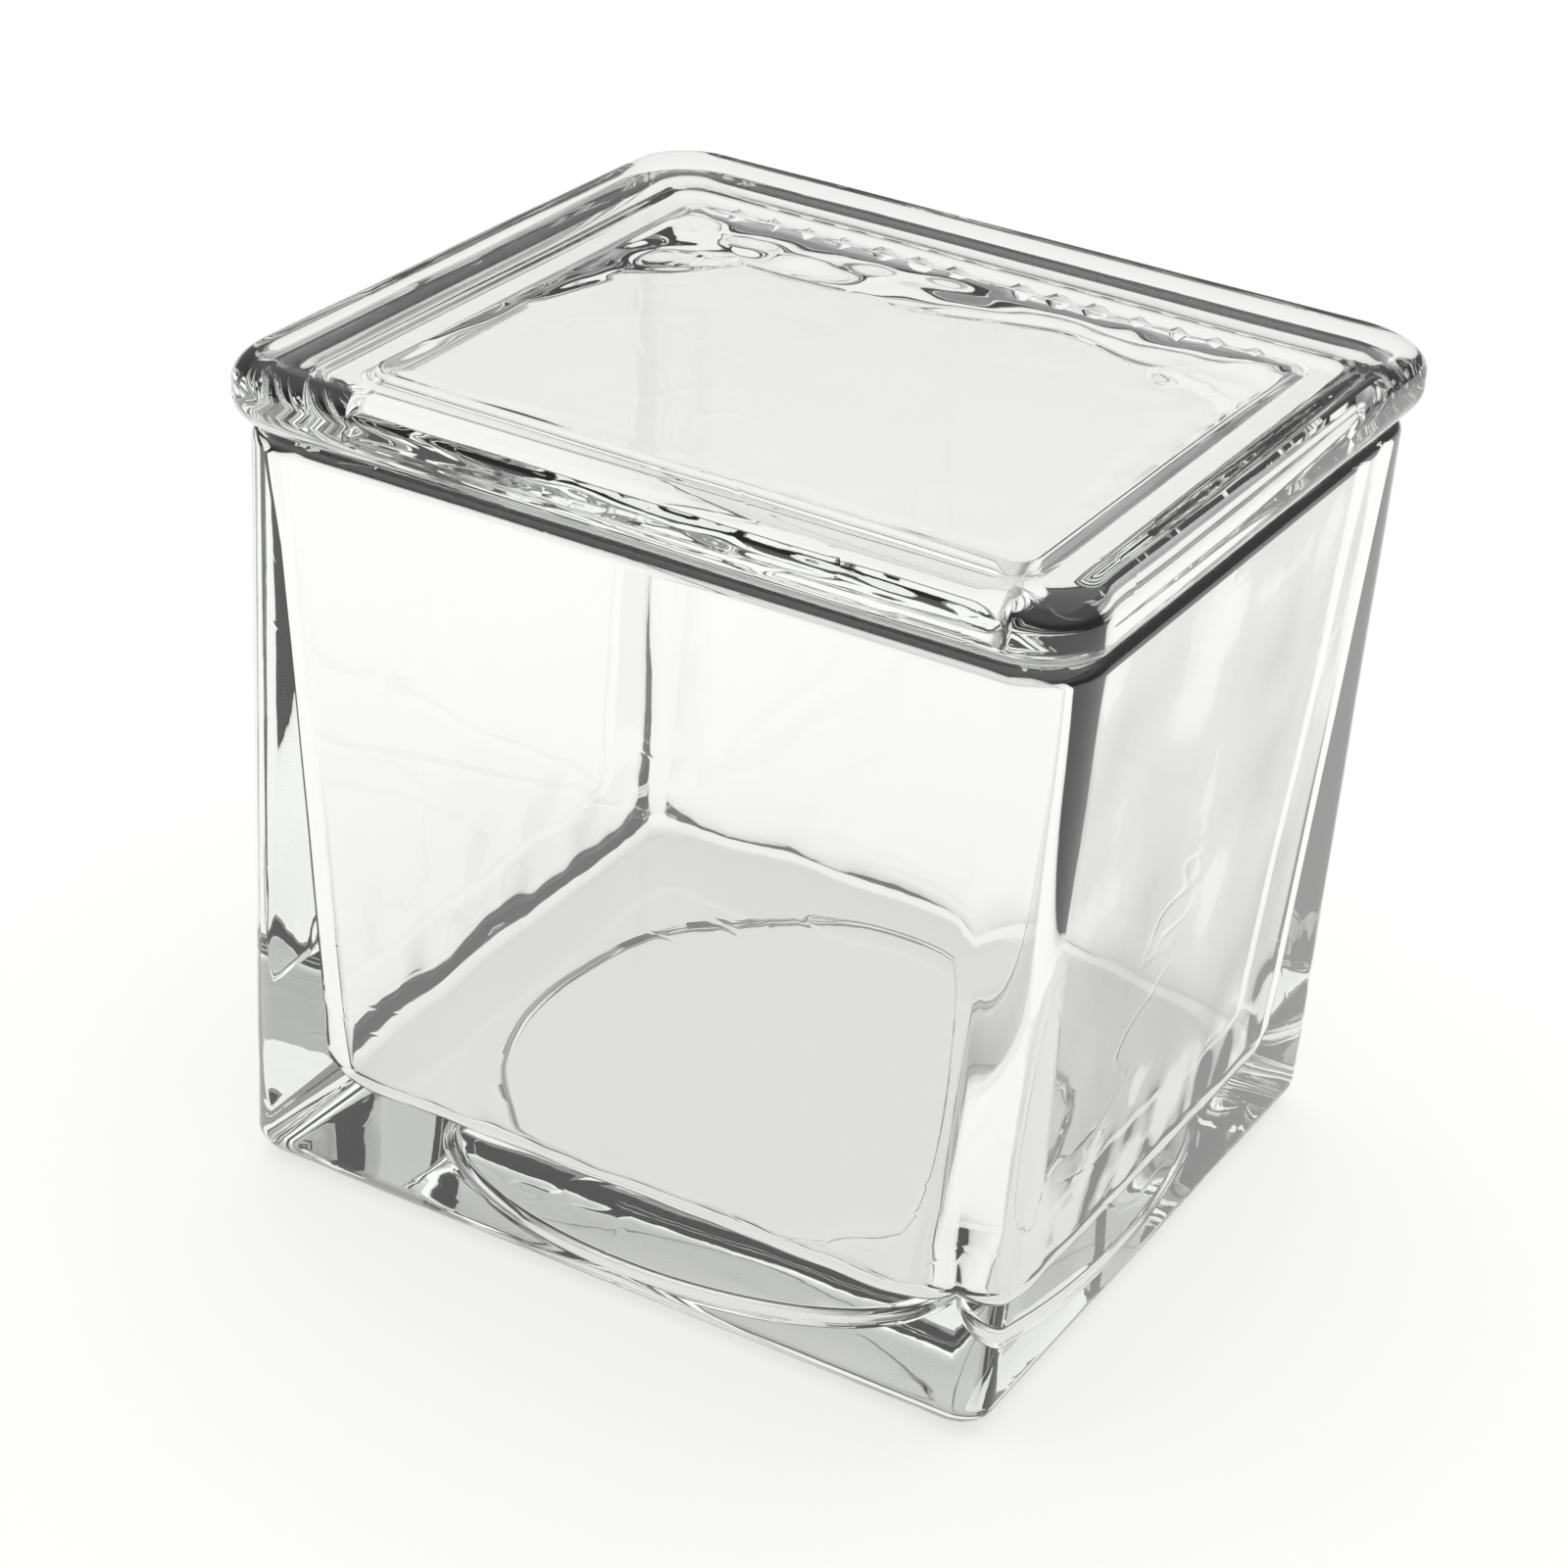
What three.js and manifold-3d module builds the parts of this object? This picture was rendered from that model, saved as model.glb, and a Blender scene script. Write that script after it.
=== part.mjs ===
// Square specimen jar in clear pressed glass: an open jar with a heavy base and
// drafted walls, and a loose glass lid whose rib drops into the mouth.
// Millimetres, +Z up, origin at the centre of the underside. X is the jar's long side.

import * as THREE from 'three';
import { mergeVertices } from 'three/addons/utils/BufferGeometryUtils.js';
import Module from 'manifold-3d';

const wasm = await Module();
wasm.setup();

// ---- driving dimensions ----

// jar, outside
const JAR_LENGTH = 90;            // X, at the rim
const JAR_WIDTH = 80;             // Y, at the rim
const JAR_HEIGHT = 82;
const OUTER_DRAFT = 1.9;          // how far each wall leans in from rim to underside
const RIM_CORNER_RADIUS = 7.5;    // upright corners, at the rim
const FOOT_CORNER_RADIUS = 3.0;   // upright corners, at the underside
const FOOT_RADIUS = 3.5;          // edge between wall and underside
const RIM_RADIUS = 1.3;           // both edges of the rim

// jar, inside
const RIM_WALL = 3.4;             // wall thickness at the rim
const FOOT_WALL = 7.2;            // wall thickness at the level of the underside
const FLOOR_THICKNESS = 10;
const MOUTH_CORNER_RADIUS = 3.5;  // upright corners, at the rim
const INNER_CORNER_RADIUS = 6.0;  // upright corners, at the level of the underside
const FLOOR_FILLET = 3.4;         // height of the curve between wall and floor
const FLOOR_CREASE = THREE.MathUtils.degToRad(18);  // slope the curve has where it meets the floor

// shallow round recess in the underside, so that the jar stands on its edge
const RECESS_LAND = 5.2;          // narrowest width of the flat that stands round it
const RECESS_DEPTH = 1.2;
const RECESS_EDGE = 1.6;          // width of the recess's sloping edge

// lid
const LID_THICKNESS = 7.4;
const LID_OVERHANG = 1.1;         // past the jar's rim on each side
const LID_CORNER_RADIUS = 6.6;
const LID_EDGE_RADIUS = 3.1;
const LID_EDGE_BAND = 0.6;        // least height of the upright band between the two edges
const RIB_DEPTH = 3.4;            // how far the rib drops into the mouth
const RIB_WIDTH = 4.6;
const RIB_DRAFT = 0.5;            // how far each face of the rib leans in over its depth
const RIB_CORNER_RADIUS = 3.0;
const RIB_EDGE_RADIUS = 0.9;

// fits
const RIB_CLEARANCE = 1.8;        // between the rib and the mouth, on each side
const SEAT_GAP = 0.3;             // between the lid and the rim that it rests on
const OVERSHOOT = 1;              // how far a cutter runs past the face that it cuts

// smoothness
const CORNER_STEPS = 8;           // facets in a quarter turn of a corner, seen from above
const EDGE_STEPS = 6;             // facets in a quarter turn of a rounded edge
const RECESS_STEPS = 72;          // facets round the recess

// ---- solids ----

// A rounded rectangle as a list of points, always with the same number of points.
function outline({ halfX, halfY, radius }) {
  const cornerX = halfX - radius;
  const cornerY = halfY - radius;
  const shape = new THREE.Shape();
  shape.absarc(cornerX, cornerY, radius, 0, Math.PI / 2);
  shape.absarc(-cornerX, cornerY, radius, Math.PI / 2, Math.PI);
  shape.absarc(-cornerX, -cornerY, radius, Math.PI, Math.PI * 1.5);
  shape.absarc(cornerX, -cornerY, radius, Math.PI * 1.5, Math.PI * 2);
  return shape.curves.filter((curve) => curve.isEllipseCurve)
    .flatMap((curve) => curve.getPoints(CORNER_STEPS));
}

// A closed solid skinned over level sections, each with its halfX, halfY, radius and z.
function loft(sections) {
  const rings = sections.map((section) => outline(section).map((p) => [p.x, p.y, section.z]));
  const count = rings[0].length;
  const positions = rings.flat(2);
  const index = [];
  for (let ring = 0; ring < rings.length - 1; ring += 1) {
    for (let i = 0; i < count; i += 1) {
      const a = ring * count + i;
      const b = ring * count + (i + 1) % count;
      index.push(a, b, b + count, a, b + count, a + count);
    }
  }
  const last = (rings.length - 1) * count;
  for (let i = 1; i < count - 1; i += 1) {
    index.push(0, i + 1, i, last, last + i, last + i + 1);
  }
  const geometry = new THREE.BufferGeometry();
  geometry.setAttribute('position', new THREE.Float32BufferAttribute(positions, 3));
  geometry.setIndex(index);
  return toSolid(geometry);
}

function toSolid(source) {
  const bare = source.clone();
  bare.deleteAttribute('normal');
  bare.deleteAttribute('uv');
  const merged = mergeVertices(bare);
  return new wasm.Manifold(new wasm.Mesh({
    numProp: 3,
    vertProperties: Float32Array.from(merged.attributes.position.array),
    triVerts: Uint32Array.from(merged.index.array),
  }));
}

function toGeometry(solid) {
  const mesh = solid.getMesh();
  const geometry = new THREE.BufferGeometry();
  geometry.setAttribute('position', new THREE.BufferAttribute(mesh.vertProperties, mesh.numProp));
  geometry.setIndex(new THREE.BufferAttribute(mesh.triVerts, 1));
  geometry.computeVertexNormals();
  return geometry;
}

// Points of an arc about its centre, as [out, up] pairs.
function arc(radius, from, to) {
  return Array.from({ length: EDGE_STEPS + 1 }, (_, step) => {
    const angle = THREE.MathUtils.lerp(from, to, step / EDGE_STEPS);
    return [radius * Math.cos(angle), radius * Math.sin(angle)];
  });
}

// Section of the jar at a height, inset from the rim's outline.
function jarSection(inset, z, radius) {
  return { halfX: JAR_LENGTH / 2 - inset, halfY: JAR_WIDTH / 2 - inset, radius, z };
}

const draftAt = (z) => OUTER_DRAFT * (1 - z / JAR_HEIGHT);
const upJar = (foot, rim, z) => THREE.MathUtils.lerp(foot, rim, z / JAR_HEIGHT);
const wallAt = (z) => upJar(FOOT_WALL, RIM_WALL, z);
const outerCornerAt = (z) => upJar(FOOT_CORNER_RADIUS, RIM_CORNER_RADIUS, z);
const innerCornerAt = (z) => upJar(INNER_CORNER_RADIUS, MOUTH_CORNER_RADIUS, z);

function jarOutside() {
  const footStart = draftAt(FOOT_RADIUS);
  const rimStart = JAR_HEIGHT - RIM_RADIUS;
  const foot = arc(FOOT_RADIUS, -Math.PI / 2, 0).map(([out, up]) =>
    jarSection(footStart + FOOT_RADIUS - out, FOOT_RADIUS + up, outerCornerAt(FOOT_RADIUS)));
  const rim = arc(RIM_RADIUS, 0, Math.PI / 2).map(([out, up]) =>
    jarSection(draftAt(rimStart) + RIM_RADIUS - out, rimStart + up, outerCornerAt(rimStart)));
  return loft([...foot, ...rim]);
}

function jarCavity() {
  const filletTop = FLOOR_THICKNESS + FLOOR_FILLET;
  const rimStart = JAR_HEIGHT - RIM_RADIUS;
  const wallInset = (z) => draftAt(z) + wallAt(z);
  const sweep = FLOOR_FILLET / Math.cos(FLOOR_CREASE);
  const floor = arc(sweep, FLOOR_CREASE - Math.PI / 2, 0).map(([out, up]) =>
    jarSection(wallInset(filletTop) + sweep - out, filletTop + up, innerCornerAt(filletTop)));
  const mouth = arc(RIM_RADIUS, 0, Math.PI / 2).map(([out, up]) =>
    jarSection(wallInset(rimStart) - RIM_RADIUS + out, rimStart + up, innerCornerAt(rimStart)));
  const top = mouth.at(-1);
  return loft([...floor, ...mouth, { ...top, z: JAR_HEIGHT + OVERSHOOT }]);
}

function baseRecess() {
  const flatInset = draftAt(FOOT_RADIUS) + FOOT_RADIUS;
  const rimRadius = Math.min(JAR_LENGTH, JAR_WIDTH) / 2 - flatInset - RECESS_LAND;
  const slope = arc(1, 0, Math.PI / 2).map(([out, up]) =>
    new THREE.Vector2(rimRadius - RECESS_EDGE * (1 - out), RECESS_DEPTH * up));
  const profile = [
    new THREE.Vector2(0, -OVERSHOOT),
    new THREE.Vector2(rimRadius, -OVERSHOOT),
    ...slope,
    new THREE.Vector2(0, RECESS_DEPTH),
  ];
  return toSolid(new THREE.LatheGeometry(profile, RECESS_STEPS).rotateX(Math.PI / 2));
}

const mouthInset = draftAt(JAR_HEIGHT) + RIM_WALL;
const lidBottom = JAR_HEIGHT + SEAT_GAP;
const lidEdge = Math.min(LID_EDGE_RADIUS, (LID_THICKNESS - LID_EDGE_BAND) / 2);

function lidPlate() {
  const section = (inset, z, radius) => jarSection(inset - LID_OVERHANG, z, radius);
  const topStart = lidBottom + LID_THICKNESS - lidEdge;
  const bottom = arc(lidEdge, -Math.PI / 2, 0).map(([out, up]) =>
    section(lidEdge - out, lidBottom + lidEdge + up, LID_CORNER_RADIUS));
  const top = arc(lidEdge, 0, Math.PI / 2).map(([out, up]) =>
    section(lidEdge - out, topStart + up, LID_CORNER_RADIUS));
  return loft([...bottom, ...top]);
}

// The lower, rounded end of one face of the rib. The face leans away from the mouth's
// wall where side is 1, and away from the rib's inside where side is -1.
function ribEnd(inset, side) {
  return arc(RIB_EDGE_RADIUS, -Math.PI / 2, 0).map(([out, up]) =>
    jarSection(inset + side * (RIB_DRAFT + RIB_EDGE_RADIUS - out),
      lidBottom - RIB_DEPTH + RIB_EDGE_RADIUS + up, RIB_CORNER_RADIUS));
}

function lidRib() {
  const outerInset = mouthInset + RIB_CLEARANCE;
  const innerInset = outerInset + RIB_WIDTH;
  const outerRoot = jarSection(outerInset, lidBottom + OVERSHOOT, RIB_CORNER_RADIUS);
  const innerRoot = jarSection(innerInset, lidBottom, RIB_CORNER_RADIUS);
  const innerEnd = ribEnd(innerInset, -1);
  const below = { ...innerEnd[0], z: innerEnd[0].z - OVERSHOOT };
  const block = loft([...ribEnd(outerInset, 1), outerRoot]);
  return block.subtract(loft([below, ...innerEnd, innerRoot]));
}

// ---- the jar and its lid ----

function glass(name, solid) {
  const material = new THREE.MeshStandardMaterial({
    color: 0xdfe4df, roughness: 0.04, metalness: 0, transparent: true, opacity: 0.35,
  });
  const mesh = new THREE.Mesh(toGeometry(solid), material);
  mesh.name = name;
  return mesh;
}

const specimenJar = new THREE.Group();
specimenJar.add(glass('jar_body', jarOutside().subtract(jarCavity()).subtract(baseRecess())));
specimenJar.add(glass('lid', lidPlate().add(lidRib())));

export default specimenJar;
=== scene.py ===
"""Square specimen jar in clear pressed glass with its loose lid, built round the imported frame."""

import math
from typing import NamedTuple

import bmesh
import bpy
from bpy.props import FloatProperty, FloatVectorProperty, PointerProperty
from mathutils import Matrix, Vector, noise


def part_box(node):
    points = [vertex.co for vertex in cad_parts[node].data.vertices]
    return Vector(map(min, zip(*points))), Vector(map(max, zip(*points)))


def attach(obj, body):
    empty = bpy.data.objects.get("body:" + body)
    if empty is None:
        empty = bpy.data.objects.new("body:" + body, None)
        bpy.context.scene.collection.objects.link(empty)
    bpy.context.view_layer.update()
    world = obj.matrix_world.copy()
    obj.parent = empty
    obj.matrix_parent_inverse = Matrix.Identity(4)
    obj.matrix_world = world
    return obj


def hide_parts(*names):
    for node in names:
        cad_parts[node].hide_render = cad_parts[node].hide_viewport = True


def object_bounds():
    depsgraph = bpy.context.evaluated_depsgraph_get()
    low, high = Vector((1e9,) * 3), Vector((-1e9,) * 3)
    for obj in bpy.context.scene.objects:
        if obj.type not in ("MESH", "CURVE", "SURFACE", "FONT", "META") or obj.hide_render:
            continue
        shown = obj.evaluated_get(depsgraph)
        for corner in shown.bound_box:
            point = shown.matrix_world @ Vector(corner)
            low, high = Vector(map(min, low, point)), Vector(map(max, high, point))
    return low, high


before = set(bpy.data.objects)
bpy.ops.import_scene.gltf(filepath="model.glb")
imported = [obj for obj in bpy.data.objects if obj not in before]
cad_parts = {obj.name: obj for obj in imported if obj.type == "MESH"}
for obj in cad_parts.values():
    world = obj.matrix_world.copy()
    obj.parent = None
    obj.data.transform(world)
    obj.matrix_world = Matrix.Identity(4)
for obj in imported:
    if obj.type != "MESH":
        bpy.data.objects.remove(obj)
CAD_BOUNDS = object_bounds()

bl_info = {
    "name": "Specimen Jar",
    "version": (1, 0, 0),
    "blender": (4, 5, 0),
    "location": "View3D > Sidebar > Specimen Jar",
    "description": "Builds a square pressed-glass jar, its lid and a pale studio stage",
    "category": "Object",
}

MM = 0.001
JAR_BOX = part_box("jar_body")
LID_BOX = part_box("lid")
QUARTER = math.pi / 2
CORNER_STEPS = 14       # points in a quarter turn of a corner, seen from above
SIDE_STEPS = 60         # spans along a straight side
EDGE_STEPS = 9          # spans in a quarter turn of a rounded edge
WALL_STEPS = 30         # spans up a wall
POCKET_STEPS = 44       # rings in the outer part of the lid's underside
FLAT = 0.1 * MM         # how near a point must be to a flat face to belong to it

# spacing of the rings in the flat panels, as shares of their outlines
RECESS_SHARES = (0.08, 0.25, 0.5, 0.75, 0.92)
LAND_SHARES = (0.05, 0.35, 0.7, 0.95)
FLOOR_SHARES = (0.99, 0.97, 0.9, 0.78, 0.64, 0.5, 0.36, 0.22, 0.08)
LID_TOP_SHARES = (0.98, 0.92, 0.8, 0.66, 0.52, 0.38, 0.24, 0.08)
POCKET_MIDDLE = 0.04    # innermost ring of the lid's underside
POCKET_START = 0.08     # where its evenly spaced rings start
POCKET_DENSE = 0.5      # where they get closer, for the cold folds
POCKET_OPEN_STEPS = 10  # rings between those two

# broad waves that pressing leaves
SHIFT = Vector((1.0, 0.7, 1.3))     # direction in which a seed moves the waves
FINE_PITCH = 2.3        # how many times shorter the finer waves are
FINE_SHARE = 0.35       # their height beside the broad ones
EDGE_SHARE = 0.25       # share of the waves that the jar's rim and foot keep
RIM_BAND = 4            # height of the calm band under the rim, in rim radii

# cold folds in the lid's underside
FOLD_TURN = 0.45        # how much the folds favour the left beside the back
FOLD_SIDE = (-0.6, 0.9)             # where they rise from few to most
FOLD_FEW = 0.25         # share of them at the front and the right
FOLD_REACH = (0.8, 1.0)             # steady and wandering share of their reach
REACH_PITCH = 0.5       # pitch of the wandering line
REACH_PLACE = Vector((4.2, 1.3, 0))
FOLD_STRETCH = 1.6      # how much closer the folds lie across the lid than along it
FOLD_LEVEL = 7.0        # where the noise is cut
CRUMPLE_PITCH = 2.7
CRUMPLE_SHARE = 0.5
FOLD_BULGE = (0.5, 1.6)             # steady and crumpled share of their height

# waves along the edges of the jar's floor
FLOOR_BAND = 3          # how far up the wall they reach, in fillet heights
FLOOR_EDGE = (0.7, 0.9)             # where they start, as shares of the floor's half size
WALL_SHARE = 0.6        # share of the wall's lean and thickness that lies outside them
ALONG_PLACE = Vector((2.1, 0, 0))
ACROSS_PLACE = Vector((0, 5.3, 0))
SMALL_PLACE = Vector((0, 0, 3.7))
LIFT_PLACE = Vector((0, 0, 8.9))
SMALL_PITCH = 2.6
SMALL_SHARE = 0.4
LIFT_PITCH = 1.4
LIFT_SHARE = 0.35

# marks in the glass
NOISE_MIDDLE = 0.5
CHILL_SIZE = 6 * MM
CHILL_STRETCH = 0.7
GRAIN_SIZE = 1.6 * MM
GRAIN_SHARE = 0.12
STREAK_SIZE = 26 * MM
STREAK_STRETCH = 2.2
STREAK_SHARPNESS = 40
GROUP_SIZE = 38 * MM    # size of the areas that have streaks
GROUP_SHARPNESS = 8
SMUDGE_SIZE = 14 * MM
SMUDGE_GAIN = 2.4
SMUDGE_START = 1.0
SMUDGED_TINT = 0.985

# stage
FLOOR_HALF = 3.0
FLOOR_GAP = 0.1 * MM    # between the jar and the floor
FLOOR_ROUGHNESS = 0.9
SENSOR_WIDTH = 36
NEAREST = 1 * MM        # nearest thing the camera sees
NORMAL_WEIGHT = 70      # how much large faces decide the smooth shading


# ---- sizes and finishes ----

def length(name, default, description):
    """A length property, in metres."""
    return FloatProperty(
        name=name, default=default, min=0.0, unit="LENGTH", precision=5, description=description
    )


class JarSizes(bpy.types.PropertyGroup):
    draft: length("Draft", 1.9 * MM, "How far each outer wall leans in from rim to underside")
    rim_corner: length("Rim corner", 7.5 * MM, "Radius of the upright outer corners at the rim")
    foot_corner: length("Foot corner", 3.0 * MM, "Radius of the upright outer corners at the underside")
    foot: length("Foot radius", 3.5 * MM, "Radius between wall and underside")
    rim: length("Rim radius", 1.3 * MM, "Radius of both edges of the rim")
    rim_wall: length("Rim wall", 3.4 * MM, "Wall thickness at the rim")
    foot_wall: length("Foot wall", 7.2 * MM, "Wall thickness at the level of the underside")
    floor: length("Floor", 10 * MM, "Thickness of the base at its middle")
    mouth_corner: length("Mouth corner", 3.5 * MM, "Radius of the upright inner corners at the rim")
    inner_corner: length("Inner corner", 6.0 * MM, "Radius of the upright inner corners at the underside")
    fillet: length("Floor fillet", 3.4 * MM, "Height of the curve between the floor and the walls")
    wave: length("Floor wave", 0.55 * MM, "Height of the waves along the floor's edges")
    wave_length: length("Floor wave length", 9 * MM, "Length of the waves along the floor's edges")
    crease: FloatProperty(
        name="Crease", subtype="ANGLE", default=math.radians(18), min=0, max=1,
        description="Slope that the curve still has where it meets the floor",
    )
    recess: length("Recess radius", 29.5 * MM, "Radius of the round recess in the underside")
    recess_depth: length("Recess depth", 1.2 * MM, "Depth of the recess")
    recess_edge: length("Recess edge", 1.6 * MM, "Width of the recess's sloping edge")


class LidSizes(bpy.types.PropertyGroup):
    gap: length("Seat gap", 0.3 * MM, "Gap between the lid and the rim it rests on")
    corner: length("Corner", 6.6 * MM, "Radius of the lid's corners, seen from above")
    edge: length("Edge radius", 3.1 * MM, "Radius of the lid's outer edge")
    inset: length("Rib inset", 6.3 * MM, "From the lid's edge to the rib's outer face")
    rib: length("Rib width", 4.6 * MM, "Width of the rib where it meets the plate")
    rib_draft: length("Rib draft", 0.5 * MM, "How far each face of the rib leans in")
    rib_corner: length("Rib corner", 3.0 * MM, "Radius of the rib's corners")
    rib_edge: length("Rib edge", 0.9 * MM, "Radius of the rib's lower edges")
    fold_reach: length("Fold reach", 14 * MM, "How far the cold folds reach in from the rib")
    fold_height: length("Fold height", 0.40 * MM, "Height of the cold folds")
    fold_swell: length("Fold swell", 2.0 * MM, "How much thicker the glass gets towards the rib")
    fold_length: length("Fold length", 12 * MM, "Width of the cold folds")
    fold_soft: length("Fold edge", 0.9 * MM, "Width of the line where the cold folds end")


class GlassFinish(bpy.types.PropertyGroup):
    tint: FloatVectorProperty(
        name="Tint", subtype="COLOR", size=3, min=0, max=1, default=(0.985, 0.985, 0.982),
        description="Colour of light that has passed one surface",
    )
    depth_tint: FloatVectorProperty(
        name="Depth tint", subtype="COLOR", size=3, min=0, max=1, default=(0.84, 0.90, 0.835),
        description="Colour that long paths through the glass turn towards",
    )
    density: FloatProperty(
        name="Density", default=6.0, min=0, description="How fast the depth tint builds up, per metre"
    )
    ior: FloatProperty(name="Index", default=1.52, min=1, max=2, description="Refractive index")
    wave: length("Wave height", 0.07 * MM, "Height of the broad waves that pressing leaves")
    wave_length: length("Wave length", 19 * MM, "Width of the broad waves")
    chill: length("Chill marks", 0.006 * MM, "Height of the fine marks of the cold mould")
    streak: length("Streaks", 0.012 * MM, "Height of the thin raised streaks")
    smudge: FloatProperty(name="Smudge", default=0.02, min=0, max=1, description="Most roughness")


class StageSettings(bpy.types.PropertyGroup):
    azimuth: FloatProperty(
        name="Azimuth", subtype="ANGLE", default=math.radians(28.356), description="Camera's bearing"
    )
    elevation: FloatProperty(
        name="Elevation", subtype="ANGLE", default=math.radians(28.237), description="Camera's height"
    )
    roll: FloatProperty(
        name="Roll", subtype="ANGLE", default=math.radians(4.211), description="Camera's tilt"
    )
    lens: FloatProperty(
        name="Lens", default=89.67, min=1, unit="CAMERA", description="Focal length on a 36 mm sensor"
    )
    distance: length("Distance", 401.6 * MM, "From the camera to the point it aims at")
    aim: FloatVectorProperty(
        name="Aim", subtype="XYZ", size=3, unit="LENGTH", default=(-3.4 * MM, 0, -4.75 * MM),
        description="Point the camera aims at, from the middle of the jar and lid",
    )
    floor: FloatVectorProperty(
        name="Floor", subtype="COLOR", size=3, min=0, max=1, default=(0.9, 0.894, 0.887),
        description="Colour of the floor",
    )
    glow: FloatProperty(
        name="Glow", default=0.55, min=0, description="Light that comes up through the floor"
    )
    key: FloatProperty(name="Key", default=1.8, min=0, unit="POWER", description="Overhead softbox")
    key_size: length("Key size", 1.1, "Side of the overhead softbox")
    sky: FloatProperty(name="Sky", default=0.68, min=0, description="Brightness of the room overhead")
    wall: FloatProperty(
        name="Room", default=0.28, min=0, description="Brightness of the room at eye level"
    )
    wall_top: FloatProperty(
        name="Room top", default=0.4, min=0, max=1, description="Where the room starts to brighten"
    )
    sky_start: FloatProperty(
        name="Sky start", default=0.7, min=0, max=1, description="Where the room is brightest"
    )
    gamma: FloatProperty(
        name="Gamma", default=1.35, min=0.1, max=4, description="Softness of the tones"
    )
    exposure: FloatProperty(
        name="Exposure", default=-0.05, min=-4, max=4, description="Exposure, in stops"
    )
    key_place: FloatVectorProperty(
        name="Key place", size=3, unit="LENGTH", default=(-0.1, 0.25, 1.0),
        description="Place of the softbox",
    )


class JarProject(bpy.types.PropertyGroup):
    jar: PointerProperty(type=JarSizes)
    lid: PointerProperty(type=LidSizes)
    glass: PointerProperty(type=GlassFinish)
    stage: PointerProperty(type=StageSettings)


# ---- shader expressions ----

class Field:
    """A shader socket. Arithmetic on it adds Math nodes."""

    def __init__(self, tree, socket):
        self.tree = tree
        self.socket = socket

    def math(self, operation, *values):
        return self.tree.add("ShaderNodeMath", {"operation": operation}, dict(enumerate(values)))

    def __add__(self, other):
        return self.math("ADD", self, other)

    def __sub__(self, other):
        return self.math("SUBTRACT", self, other)

    def __mul__(self, other):
        return self.math("MULTIPLY", self, other)

    def __pow__(self, other):
        return self.math("POWER", self, other)

    def __rsub__(self, other):
        return self.math("SUBTRACT", other, self)

    __radd__ = __add__
    __rmul__ = __mul__

    def magnitude(self):
        return self.math("ABSOLUTE", self)

    def clamped(self):
        return self.math("MINIMUM", self.math("MAXIMUM", self, 0.0), 1.0)


class ShaderTree:
    """The node tree of a material or world."""

    def __init__(self, owner):
        owner.use_nodes = True
        self.tree = owner.node_tree
        self.tree.nodes.clear()

    def node(self, kind, settings=None, inputs=None):
        """Adds a node, with its settings first and then the values or links of its sockets."""
        made = self.tree.nodes.new(kind)
        for name, value in (settings or {}).items():
            if name == "stops":
                set_stops(made.color_ramp, value)
            else:
                setattr(made, name, value)
        for name, value in (inputs or {}).items():
            if isinstance(value, Field):
                self.tree.links.new(value.socket, made.inputs[name])
            else:
                made.inputs[name].default_value = value
        return made

    def add(self, kind, settings=None, inputs=None, output=0):
        """Adds a node and gives one of its outputs."""
        return Field(self, self.node(kind, settings, inputs).outputs[output])

    def mix(self, factor, first, second):
        return self.add(
            "ShaderNodeMix", {"data_type": "RGBA"}, {0: factor, 6: first, 7: second}, output=2
        )


def set_stops(ramp, stops):
    while len(ramp.elements) < len(stops):
        ramp.elements.new(1.0)
    for element, (position, colour) in zip(ramp.elements, stops):
        element.position = position
        element.color = colour


def grey(value):
    return (value, value, value, 1.0)


def opaque(colour):
    return (*colour, 1.0)


# ---- glass ----

def pressed_glass(name, finish, seed):
    """Clear glass with chill marks and thin streaks, and a tint that deepens with thickness."""
    material = bpy.data.materials.new(name)
    shader = ShaderTree(material)
    place = shader.add("ShaderNodeTexCoord", output=3)
    place = shader.add(
        "ShaderNodeVectorMath", {"operation": "ADD"}, {0: place, 1: (seed, seed, seed)}
    )

    def pattern(size, detail, stretch=1.0):
        scale = 1 / size
        point = shader.add(
            "ShaderNodeVectorMath", {"operation": "MULTIPLY"},
            {0: place, 1: (scale, scale, scale * stretch)},
        )
        return shader.add(
            "ShaderNodeTexNoise", None, {"Vector": point, "Scale": 1.0, "Detail": detail}
        )

    chill = pattern(CHILL_SIZE, 2.0, stretch=CHILL_STRETCH)
    grain = pattern(GRAIN_SIZE, 1.0)
    contour = pattern(STREAK_SIZE, 2.0, stretch=STREAK_STRETCH) - NOISE_MIDDLE
    group = ((pattern(GROUP_SIZE, 1.0) - NOISE_MIDDLE) * GROUP_SHARPNESS).clamped()
    streaks = (1 - contour.magnitude() * STREAK_SHARPNESS).clamped() ** 2 * group
    relief = chill + GRAIN_SHARE * grain + streaks * (finish.streak / finish.chill)
    bump = shader.add(
        "ShaderNodeBump", None, {"Height": relief, "Strength": 1.0, "Distance": finish.chill}
    )
    smudged = (pattern(SMUDGE_SIZE, 4.0) * SMUDGE_GAIN - SMUDGE_START).clamped() ** 2
    film = shader.mix(smudged, opaque(finish.tint), opaque(Vector(finish.tint) * SMUDGED_TINT))
    surface = shader.add(
        "ShaderNodeBsdfPrincipled", None,
        {
            "Base Color": film, "Roughness": smudged * finish.smudge, "IOR": finish.ior,
            "Transmission Weight": 1.0, "Normal": bump,
        },
    )
    depth = shader.add(
        "ShaderNodeVolumeAbsorption", None,
        {"Color": opaque(finish.depth_tint), "Density": finish.density},
    )
    shader.node("ShaderNodeOutputMaterial", None, {"Surface": surface, "Volume": depth})
    return material


# ---- meshes ----

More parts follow.
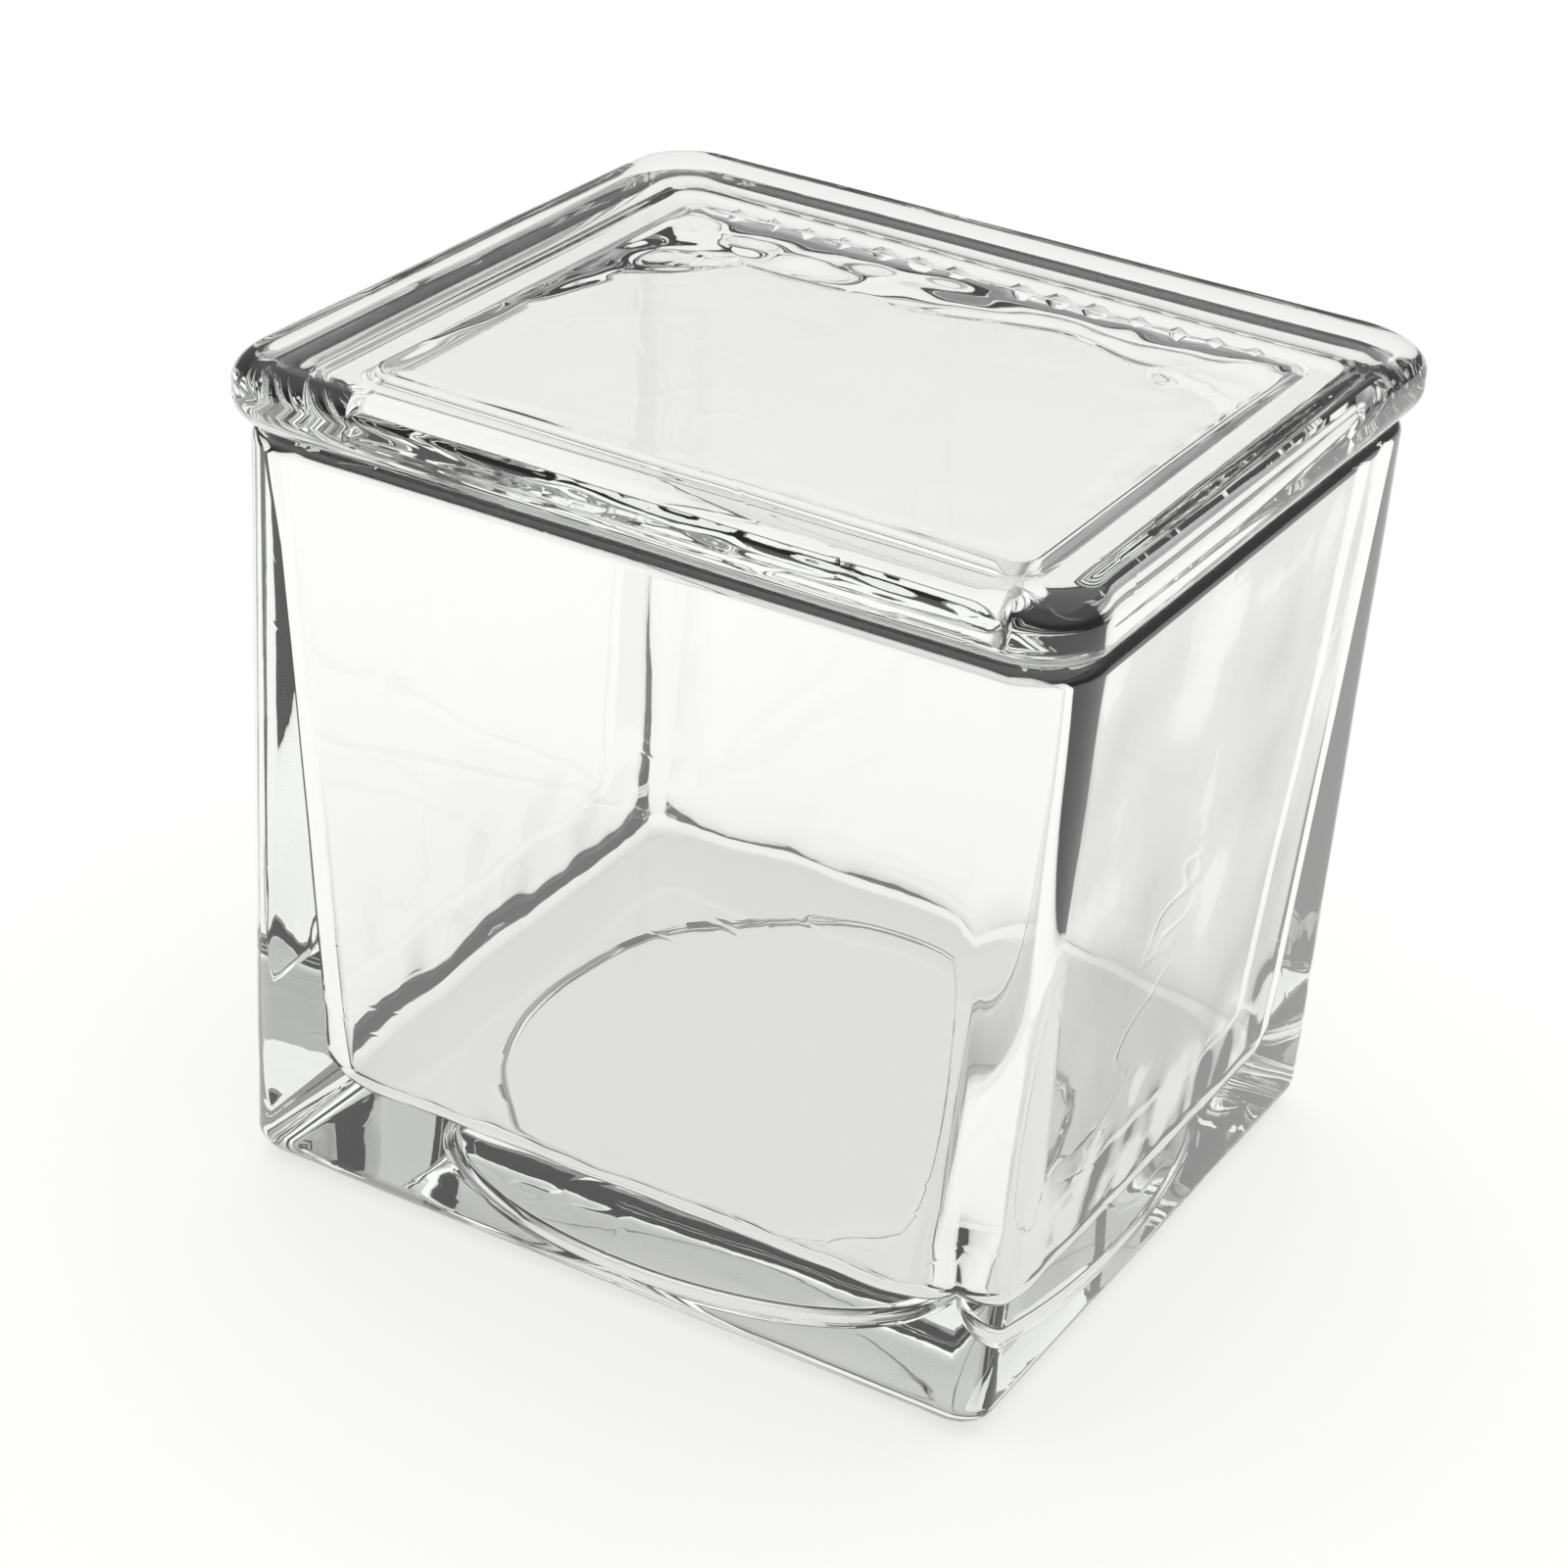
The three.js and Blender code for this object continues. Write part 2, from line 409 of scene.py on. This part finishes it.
class Section(NamedTuple):
    """A level outline: how far in from the piece's widest outline, its height and corner radius."""

    inset: float
    z: float
    radius: float


def quarter(radius, start, stop):
    """Points of an arc about its centre, as (out, up) pairs."""
    for step in range(EDGE_STEPS + 1):
        angle = start + (stop - start) * step / EDGE_STEPS
        yield radius * math.cos(angle), radius * math.sin(angle)


def rounded_outline(half_x, half_y, radius):
    """A rounded rectangle, anticlockwise, with its points spread over corners and sides."""
    points = []
    for turn, (side_x, side_y) in enumerate(((1, 1), (-1, 1), (-1, -1), (1, -1))):
        centre = Vector((side_x * (half_x - radius), side_y * (half_y - radius)))
        for step in range(CORNER_STEPS + 1):
            angle = (turn + step / CORNER_STEPS) * QUARTER
            points.append(centre + radius * Vector((math.cos(angle), math.sin(angle))))
    outline = []
    for place, point in enumerate(points):
        outline.append(point)
        if place % (CORNER_STEPS + 1) == CORNER_STEPS:
            after = points[(place + 1) % len(points)]
            outline.extend(point.lerp(after, step / SIDE_STEPS) for step in range(1, SIDE_STEPS))
    return outline


def circle_like(outline, radius):
    """A circle with one point in the direction of each point of an outline."""
    return [point.normalized() * radius for point in outline]


class Skin:
    """Level rings of points, skinned into one closed mesh."""

    def __init__(self, half_x, half_y):
        self.half_x = half_x
        self.half_y = half_y
        self.rings = []

    def outline(self, section):
        return rounded_outline(
            self.half_x - section.inset, self.half_y - section.inset, section.radius
        )

    def ring(self, outline, z):
        self.rings.append([(point.x, point.y, z) for point in outline])

    def sections(self, sections):
        for section in sections:
            self.ring(self.outline(section), section.z)

    def panel(self, section, shares):
        """Rings of a flat panel, as shares of its outline's size."""
        outline = self.outline(section)
        for share in shares:
            self.ring([point * share for point in outline], section.z)

    def mesh(self):
        made = bmesh.new()
        rings = [[made.verts.new(point) for point in ring] for ring in self.rings]
        for lower, upper in zip(rings, rings[1:]):
            for place, corner in enumerate(lower):
                after = (place + 1) % len(lower)
                made.faces.new((corner, lower[after], upper[after], upper[place]))
        for ring, order in ((rings[0], -1), (rings[-1], 1)):
            middle = made.verts.new(sum((v.co for v in ring), Vector()) / len(ring))
            for place, corner in enumerate(ring):
                edge = (corner, ring[(place + 1) % len(ring)])[::order]
                made.faces.new((*edge, middle))
        bmesh.ops.recalc_face_normals(made, faces=made.faces)
        if made.calc_volume(signed=True) < 0:
            bmesh.ops.reverse_faces(made, faces=made.faces)
        return made


def everywhere(point):
    return 1.0


def ripple(made, height, width, seed, share=everywhere):
    """Moves each point along its normal by broad waves, as pressed glass has."""
    shift = seed * SHIFT
    made.normal_update()
    moves = []
    for vert in made.verts:
        at = vert.co / width + shift
        wave = noise.noise(at) + FINE_SHARE * noise.noise(at * FINE_PITCH)
        moves.append(vert.normal * (wave * height * share(vert.co)))
    for vert, move in zip(made.verts, moves):
        vert.co += move


def cold_folds(made, settings, base, half_x, half_y):
    """Wrinkles in the lid's underside, from the rib to a wandering line where they stop."""
    soft = settings.fold_soft
    steady_reach, wandering_reach = FOLD_REACH
    steady_bulge, crumpled_bulge = FOLD_BULGE
    for vert in made.verts:
        inset = min(half_x - abs(vert.co.x), half_y - abs(vert.co.y))
        if inset < 0 or abs(vert.co.z - base) > FLAT:
            continue
        at = vert.co / settings.fold_length
        side = smooth(vert.co.y / half_y - FOLD_TURN * vert.co.x / half_x, *FOLD_SIDE)
        wander = noise.noise(at * REACH_PITCH + REACH_PLACE)
        reach = settings.fold_reach * (steady_reach + wandering_reach * wander)
        reach *= FOLD_FEW + (1 - FOLD_FEW) * side
        inside = 1 - smooth(inset, reach - soft, reach + soft)
        crumple = noise.noise(Vector((at.x, at.y * FOLD_STRETCH, FOLD_LEVEL)))
        crumple += CRUMPLE_SHARE * noise.noise(at * CRUMPLE_PITCH)
        rise = max(1 - inset / max(reach, soft), 0.0)
        wrinkle = settings.fold_height * (steady_bulge + crumpled_bulge * crumple)
        wrinkle *= FOLD_FEW + side
        swell = settings.fold_swell * side * rise ** 2
        vert.co.z -= inside * smooth(inset, 0, soft) * wrinkle + swell


def floor_waves(made, sizes, half_x, half_y):
    """Waves along the inside edges of the floor, as the plunger leaves them."""
    top = sizes.floor + sizes.fillet
    for vert in made.verts:
        outside = max(abs(vert.co.x) - half_x, abs(vert.co.y) - half_y) > 0
        if vert.co.z < sizes.floor - FLAT or outside:
            continue
        near = 1 - smooth(vert.co.z, top, top + FLOOR_BAND * sizes.fillet)
        edge = smooth(max(abs(vert.co.x) / half_x, abs(vert.co.y) / half_y), *FLOOR_EDGE)
        at = vert.co / sizes.wave_length
        small = at * SMALL_PITCH
        sway = Vector((
            noise.noise(at + ALONG_PLACE) + SMALL_SHARE * noise.noise(small),
            noise.noise(at + ACROSS_PLACE) + SMALL_SHARE * noise.noise(small + SMALL_PLACE),
            LIFT_SHARE * noise.noise(at * LIFT_PITCH + LIFT_PLACE),
        ))
        vert.co += near * edge * sizes.wave * sway


def smooth(value, start, stop):
    """Rises from 0 to 1 between two values."""
    share = min(max((value - start) / (stop - start), 0.0), 1.0)
    return share * share * (3 - 2 * share)


def add_piece(name, made, material, body, node):
    mesh = bpy.data.meshes.new(name)
    made.to_mesh(mesh)
    made.free()
    mesh.shade_smooth()
    mesh.materials.append(material)
    piece = bpy.data.objects.new(name, mesh)
    bpy.context.collection.objects.link(piece)
    normals = piece.modifiers.new("Even normals", "WEIGHTED_NORMAL")
    normals.weight = NORMAL_WEIGHT
    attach(piece, body)
    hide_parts(node)


def spans(first, last, count):
    """Evenly spaced values from first to last, without the first."""
    return [first + (last - first) * step / count for step in range(1, count + 1)]


def jar_skin(sizes):
    """The jar: recess, underside, outer walls, rim, inner walls and floor, in that order."""
    high = JAR_BOX[1]
    height = high.z
    skin = Skin(high.x, high.y)
    rim_start = height - sizes.rim

    def between(foot, rim, z):
        return foot + (rim - foot) * z / height

    def lean(z):
        return sizes.draft * (rim_start - z) / height

    def inside(z):
        return lean(z) + between(sizes.foot_wall, sizes.rim_wall, z)

    def round_in(z):
        return between(sizes.inner_corner, sizes.mouth_corner, z)

    def round_out(z):
        return between(sizes.foot_corner, sizes.rim_corner, z)

    foot = [
        Section(lean(sizes.foot) + sizes.foot - out, sizes.foot + up, round_out(sizes.foot))
        for out, up in quarter(sizes.foot, -QUARTER, 0)
    ]
    land = skin.outline(foot[0])
    slope = [
        (sizes.recess - sizes.recess_edge * (1 - out), sizes.recess_depth * up)
        for out, up in quarter(1, QUARTER, 0)
    ]
    recess_floor = slope[0][0]
    for share in RECESS_SHARES:
        skin.ring(circle_like(land, recess_floor * share), sizes.recess_depth)
    for radius, z in slope:
        skin.ring(circle_like(land, radius), z)
    rim_circle = circle_like(land, sizes.recess)
    for share in LAND_SHARES:
        skin.ring([a.lerp(b, share) for a, b in zip(rim_circle, land)], 0)
    skin.sections(foot)
    skin.sections(
        Section(lean(z), z, round_out(z)) for z in spans(sizes.foot, rim_start, WALL_STEPS)
    )
    skin.sections(
        Section(sizes.rim - out, rim_start + up, round_out(rim_start))
        for out, up in list(quarter(sizes.rim, 0, QUARTER))[1:]
    )
    mouth = inside(rim_start)
    skin.sections(
        Section(mouth - sizes.rim + out, rim_start + up, round_in(rim_start))
        for out, up in quarter(sizes.rim, QUARTER, 0)
    )
    fillet_top = sizes.floor + sizes.fillet
    skin.sections(
        Section(inside(z), z, round_in(z)) for z in spans(rim_start, fillet_top, WALL_STEPS)
    )
    sweep = sizes.fillet / math.cos(sizes.crease)
    fillet = [
        Section(inside(fillet_top) + sweep - out, fillet_top + up, round_in(fillet_top))
        for out, up in quarter(sweep, 0, sizes.crease - QUARTER)
    ]
    skin.sections(fillet[1:])
    skin.panel(fillet[-1], FLOOR_SHARES)
    return skin


def lid_skin(sizes):
    """The lid: underside, rib, rounded outer edge and top, in that order."""
    low, high = LID_BOX
    skin = Skin(high.x, high.y)
    base = JAR_BOX[1].z + sizes.gap
    inner = sizes.inset + sizes.rib

    def rib_end(inset, side, start, stop):
        for out, up in quarter(sizes.rib_edge, start, stop):
            lean = sizes.rib_draft + sizes.rib_edge - out
            yield Section(inset + side * lean, low.z + sizes.rib_edge + up, sizes.rib_corner)

    def edge(z, start, stop):
        for out, up in quarter(sizes.edge, start, stop):
            yield Section(sizes.edge - out, z + up, sizes.corner)

    pocket = Section(inner, base, sizes.rib_corner)
    open_rings = spans(POCKET_START, POCKET_DENSE, POCKET_OPEN_STEPS)
    skin.panel(pocket, [POCKET_MIDDLE, *open_rings, *spans(POCKET_DENSE, 1, POCKET_STEPS)])
    skin.sections(rib_end(inner, -1, 0, -QUARTER))
    skin.sections(rib_end(sizes.inset, 1, -QUARTER, 0))
    skin.sections([Section(sizes.inset, base, sizes.rib_corner)])
    skin.sections(edge(base + sizes.edge, -QUARTER, 0))
    top = list(edge(high.z - sizes.edge, 0, QUARTER))
    skin.sections(top)
    skin.panel(top[-1], LID_TOP_SHARES)
    return skin


# ---- operators ----

class SPECIMENJAR_OT_jar(bpy.types.Operator):
    """Builds the jar: drafted walls, rounded rim, heavy base and the recess in its underside"""

    bl_idname = "specimen_jar.jar"
    bl_label = "Jar"

    def execute(self, context):
        project = context.scene.specimen_jar
        sizes, finish = project.jar, project.glass
        made = jar_skin(sizes).mesh()
        rim_band = JAR_BOX[1].z - RIM_BAND * sizes.rim

        def share(point):
            if point.z > rim_band or point.z < sizes.foot:
                return EDGE_SHARE
            return 1.0

        ripple(made, finish.wave, finish.wave_length, seed=3.0, share=share)
        wall = WALL_SHARE * (sizes.draft + sizes.foot_wall)
        floor_waves(made, sizes, JAR_BOX[1].x - wall, JAR_BOX[1].y - wall)
        glass = pressed_glass("jar glass", finish, seed=0.0)
        add_piece("pressed_jar", made, glass, "jar", "jar_body")
        return {"FINISHED"}


class SPECIMENJAR_OT_lid(bpy.types.Operator):
    """Builds the lid: a thick plate with a bull-nosed edge, and the rib that drops into the mouth"""

    bl_idname = "specimen_jar.lid"
    bl_label = "Lid"

    def execute(self, context):
        project = context.scene.specimen_jar
        sizes, finish = project.lid, project.glass
        made = lid_skin(sizes).mesh()
        inner = sizes.inset + sizes.rib
        base = JAR_BOX[1].z + sizes.gap
        cold_folds(made, sizes, base, LID_BOX[1].x - inner, LID_BOX[1].y - inner)
        ripple(made, finish.wave, finish.wave_length, seed=11.0)
        glass = pressed_glass("lid glass", finish, seed=0.4)
        add_piece("pressed_lid", made, glass, "lid", "lid")
        return {"FINISHED"}


class SPECIMENJAR_OT_stage(bpy.types.Operator):
    """Sets up a pale floor, a soft overhead light and the camera"""

    bl_idname = "specimen_jar.stage"
    bl_label = "Stage"

    def execute(self, context):
        settings = context.scene.specimen_jar.stage
        add_floor(settings)
        add_light(settings)
        add_world(context.scene, settings)
        add_camera(context.scene, settings)
        view = context.scene.view_settings
        view.view_transform = "Standard"
        view.gamma = settings.gamma
        view.exposure = settings.exposure
        return {"FINISHED"}


def add_floor(settings):
    half = FLOOR_HALF
    mesh = bpy.data.meshes.new("floor")
    corners = [(-half, -half, 0), (half, -half, 0), (half, half, 0), (-half, half, 0)]
    mesh.from_pydata(corners, [], [(0, 1, 2, 3)])
    material = bpy.data.materials.new("pale floor")
    shader = ShaderTree(material)
    surface = shader.add(
        "ShaderNodeBsdfPrincipled", None,
        {
            "Base Color": opaque(settings.floor), "Roughness": FLOOR_ROUGHNESS,
            "Emission Color": opaque(settings.floor), "Emission Strength": settings.glow,
        },
    )
    shader.node("ShaderNodeOutputMaterial", None, {"Surface": surface})
    mesh.materials.append(material)
    floor = bpy.data.objects.new("floor", mesh)
    floor.location.z = CAD_BOUNDS[0].z - FLOOR_GAP
    bpy.context.collection.objects.link(floor)


def add_light(settings):
    lamp = bpy.data.lights.new("softbox", "AREA")
    lamp.shape = "SQUARE"
    lamp.size = settings.key_size
    lamp.energy = settings.key
    softbox = bpy.data.objects.new("softbox", lamp)
    softbox.location = settings.key_place
    softbox.rotation_euler = (-softbox.location).to_track_quat("-Z", "Y").to_euler()
    bpy.context.collection.objects.link(softbox)


def add_world(scene, settings):
    """A room that is dark at eye level and bright overhead."""
    scene.world = bpy.data.worlds.new("studio")
    shader = ShaderTree(scene.world)
    direction = shader.add("ShaderNodeTexCoord", output=0)
    up = shader.add("ShaderNodeSeparateXYZ", None, {0: direction}, output=2)
    room = grey(settings.wall)
    stops = [(0.0, room), (settings.wall_top, room), (settings.sky_start, grey(1.0))]
    light = shader.add("ShaderNodeValToRGB", {"stops": stops}, {0: up})
    surface = shader.add("ShaderNodeBackground", None, {0: light, 1: settings.sky})
    shader.node("ShaderNodeOutputWorld", None, {0: surface})


def add_camera(scene, settings):
    back = Vector((
        math.sin(settings.azimuth) * math.cos(settings.elevation),
        -math.cos(settings.azimuth) * math.cos(settings.elevation),
        math.sin(settings.elevation),
    ))
    middle = (CAD_BOUNDS[0] + CAD_BOUNDS[1]) / 2
    camera_data = bpy.data.cameras.new("camera")
    camera_data.lens = settings.lens
    camera_data.sensor_width = SENSOR_WIDTH
    camera_data.clip_start = NEAREST
    camera = bpy.data.objects.new("camera", camera_data)
    place = middle + Vector(settings.aim) + back * settings.distance
    camera.matrix_world = (
        Matrix.Translation(place)
        @ back.to_track_quat("Z", "Y").to_matrix().to_4x4()
        @ Matrix.Rotation(settings.roll, 4, "Z")
    )
    bpy.context.collection.objects.link(camera)
    scene.camera = camera


class SPECIMENJAR_PT_panel(bpy.types.Panel):
    bl_label = "Specimen Jar"
    bl_idname = "SPECIMENJAR_PT_panel"
    bl_space_type = "VIEW_3D"
    bl_region_type = "UI"
    bl_category = "Specimen Jar"

    def draw(self, context):
        project = context.scene.specimen_jar
        for title, group, operator in (
            ("Jar", project.jar, SPECIMENJAR_OT_jar),
            ("Lid", project.lid, SPECIMENJAR_OT_lid),
            ("Stage", project.stage, SPECIMENJAR_OT_stage),
        ):
            box = self.layout.box()
            box.label(text=title)
            for name in group.__annotations__:
                box.prop(group, name)
            box.operator(operator.bl_idname)
        for name in GlassFinish.__annotations__:
            self.layout.prop(project.glass, name)


GROUPS = (JarSizes, LidSizes, GlassFinish, StageSettings, JarProject)
OPERATORS = (SPECIMENJAR_OT_stage, SPECIMENJAR_OT_jar, SPECIMENJAR_OT_lid)
CLASSES = (*GROUPS, *OPERATORS, SPECIMENJAR_PT_panel)


def register():
    for each in CLASSES:
        bpy.utils.register_class(each)
    bpy.types.Scene.specimen_jar = PointerProperty(type=JarProject)


def unregister():
    del bpy.types.Scene.specimen_jar
    for each in reversed(CLASSES):
        bpy.utils.unregister_class(each)


def main():
    register()
    bpy.ops.specimen_jar.stage()
    bpy.ops.specimen_jar.jar()
    bpy.ops.specimen_jar.lid()


if __name__ == "__main__":
    main()
